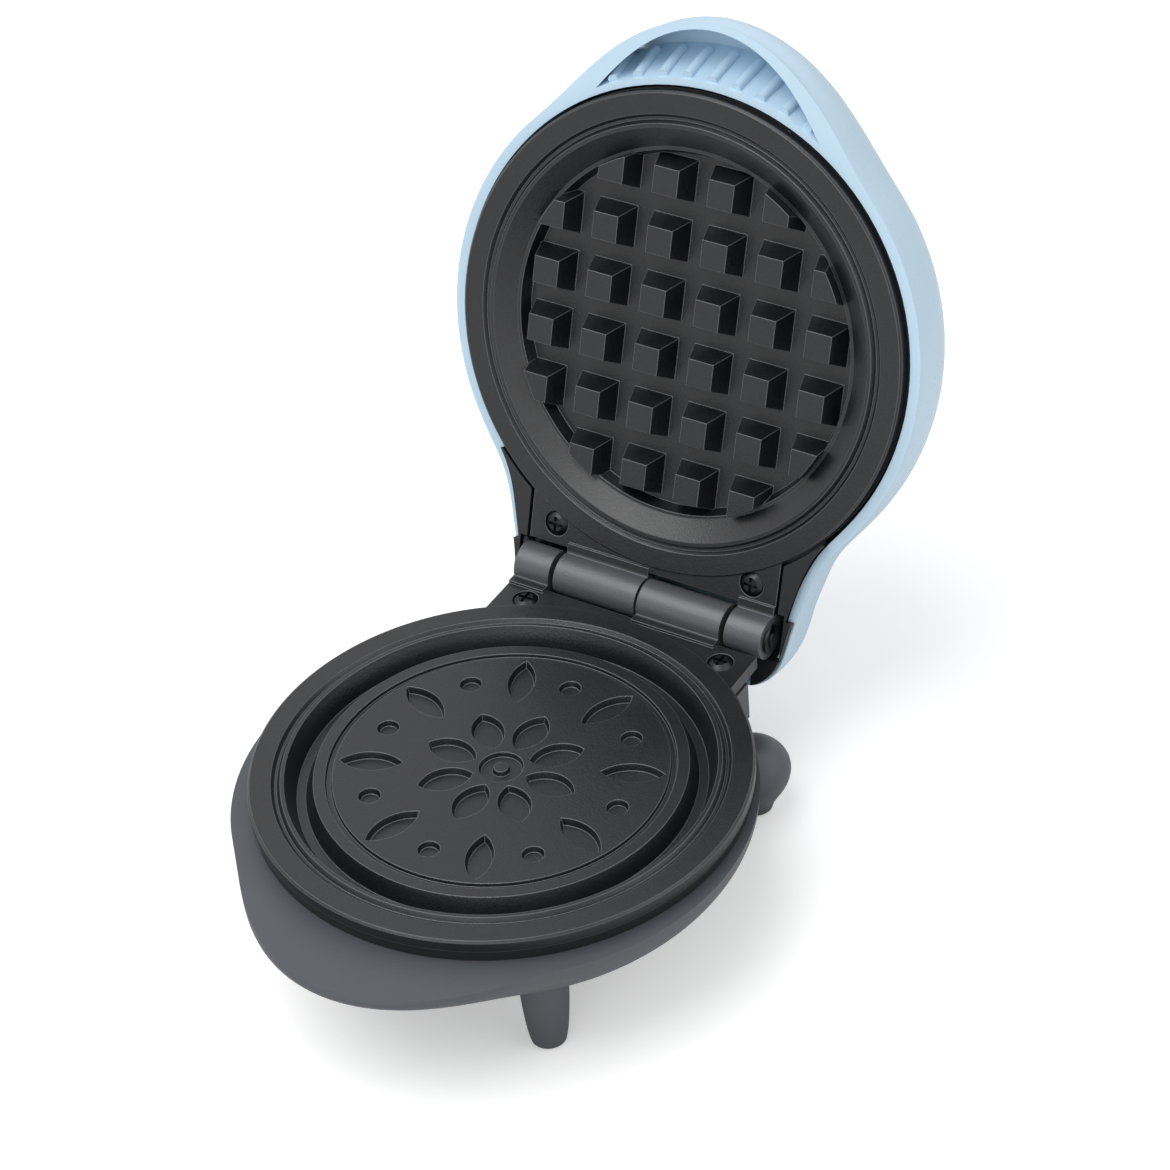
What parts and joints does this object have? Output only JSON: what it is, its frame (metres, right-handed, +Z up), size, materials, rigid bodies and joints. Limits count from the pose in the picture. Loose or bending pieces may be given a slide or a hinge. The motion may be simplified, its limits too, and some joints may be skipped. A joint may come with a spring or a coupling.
{
  "type": "mini waffle maker",
  "caption": "Round table-top waffle maker with a hinged domed lid standing open, two cast plates, a grip lip on the base, a finger recess in the lid and short feet.",
  "frame": {"origin": "on the table, under the middle of the round lower cooking plate", "axes": "+X to the right seen from the grip side, +Y to the rear where the hinge is, +Z up"},
  "size_m": [0.1242, 0.214, 0.1749],
  "materials": {
    "nonstick_casting": "die cast, black non-stick coat, fine sheen",
    "grey_plastic": "moulded, charcoal grey, fine texture",
    "blue_plastic": "moulded, pale blue, satin",
    "black_resin": "moulded heat-proof resin, black",
    "white_resin": "moulded terminal resin, off-white",
    "soft_rubber": "moulded, black",
    "heater_steel": "drawn tube, oxidised grey",
    "bright_sheet": "pressed sheet, bright",
    "zinc_steel": "zinc plated",
    "pin_steel": "ground",
    "lead_sleeve": "braided glass sleeve, off-white",
    "clear_lens": "moulded, clear",
    "lamp_glass": "clear bulb, amber glow"
  },
  "bodies": {
    "base": {"lower_plate": "nonstick_casting", "base_housing": "grey_plastic", "foot_pads": "soft_rubber", "base_seat_ring": "black_resin", "lower_plate_screws": "zinc_steel", "lower_heating_element": "heater_steel", "lower_heat_shield": "bright_sheet", "lower_shield_screws": "zinc_steel", "lower_thermostat": "black_resin", "lower_thermal_fuse": "zinc_steel", "terminal_block": "white_resin", "lower_leads": "lead_sleeve", "cord_clamp": "grey_plastic", "cord_clamp_screws": "zinc_steel", "cord_gland": "soft_rubber", "hinge_pin": "pin_steel", "hinge_pin_clips": "pin_steel"},
    "lid": {"upper_plate": "nonstick_casting", "lid_shell": "blue_plastic", "lid_liner": "black_resin", "lid_liner_screws": "zinc_steel", "upper_plate_screws": "zinc_steel", "upper_heating_element": "heater_steel", "upper_heat_shield": "bright_sheet", "upper_shield_screws": "zinc_steel", "upper_thermostat": "black_resin", "upper_leads": "lead_sleeve", "indicator_lens": "clear_lens", "indicator_lamp": "lamp_glass"}
  },
  "joints": [
    {"name": "lid_hinge", "type": "hinge", "parent": "base", "child": "lid", "pos_m": [0, 0.0665, 0.0415], "axis": [1, 0, 0], "range_deg": [0, 108]}
  ]
}
